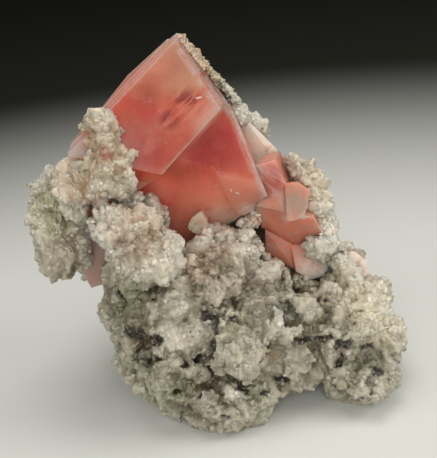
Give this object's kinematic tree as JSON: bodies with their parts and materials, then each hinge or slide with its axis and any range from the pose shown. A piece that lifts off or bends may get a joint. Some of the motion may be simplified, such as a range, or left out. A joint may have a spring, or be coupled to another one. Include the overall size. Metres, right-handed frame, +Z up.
{
  "type": "fluorite specimen",
  "caption": "Coral-red fluorite octahedron with paler fluorite beside it, on a rough matrix of small quartz crystals; stands free as a mineral display piece.",
  "frame": {"origin": "middle of the specimen's box on the plane that the matrix rests on", "axes": "+Z up; -Y towards the viewer, the side that the octahedron's broad front face looks to; +X to the viewer's right, towards the low end of the matrix"},
  "size_m": [0.044, 0.0352, 0.043],
  "materials": {
    "quartz_matrix": "granular quartz, sparkling, with green and brown stain in the crevices",
    "fluorite_coral": "clear to cloudy crystal with a waxy gloss and fine growth steps",
    "fluorite_salmon": "cloudy crystal with a waxy gloss and broken flakes",
    "fluorite_pale": "pale, nearly colourless cloudy crystal",
    "fluorite_mauve": "mauve striated crystal"
  },
  "bodies": {
    "root": {"matrix": "quartz_matrix", "fluorite_main": "fluorite_coral", "fluorite_right": "fluorite_salmon", "fluorite_back": "fluorite_pale", "fluorite_left": "fluorite_mauve", "fluorite_low_right": "fluorite_pale"}
  },
  "joints": []
}
